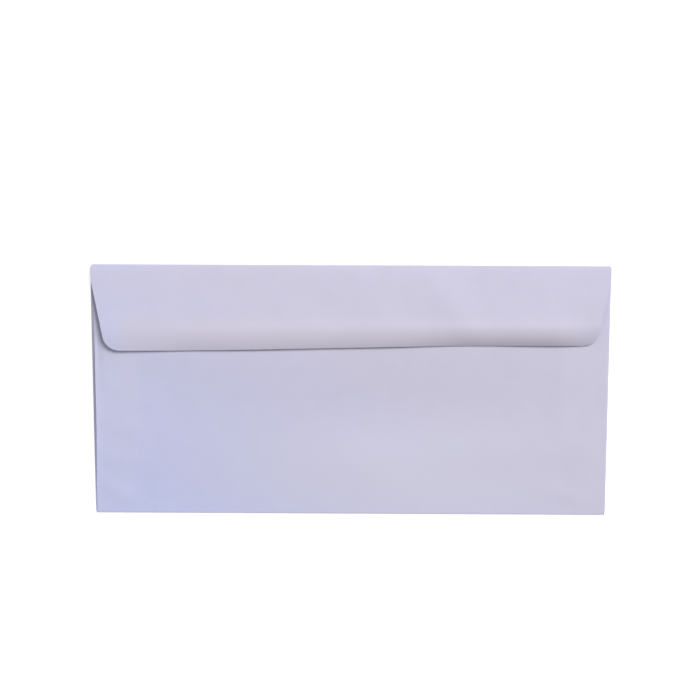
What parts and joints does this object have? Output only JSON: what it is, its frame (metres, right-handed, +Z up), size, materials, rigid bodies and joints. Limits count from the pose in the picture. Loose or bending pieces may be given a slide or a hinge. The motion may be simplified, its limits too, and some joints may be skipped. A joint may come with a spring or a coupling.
{
  "type": "paper envelope",
  "caption": "Long wallet envelope of white paper with side seams and a tapered, gummed seal flap on its long side, empty, flap folded down but not stuck.",
  "frame": {"origin": "middle of the footprint, on the surface that the envelope lies on with its address side down", "axes": "+X along the long side, +Y towards the fold of the seal flap, +Z up, out of the flap side"},
  "size_m": [0.22, 0.11, 0.0036],
  "materials": {
    "paper": "matte, smooth uncoated",
    "glue": "thin dried film",
    "gum": "dried remoistenable gum, satin"
  },
  "bodies": {
    "root": {"envelope": "paper", "seam_glue_left": "glue", "seam_glue_right": "glue", "seal_gum": "gum"}
  },
  "joints": []
}
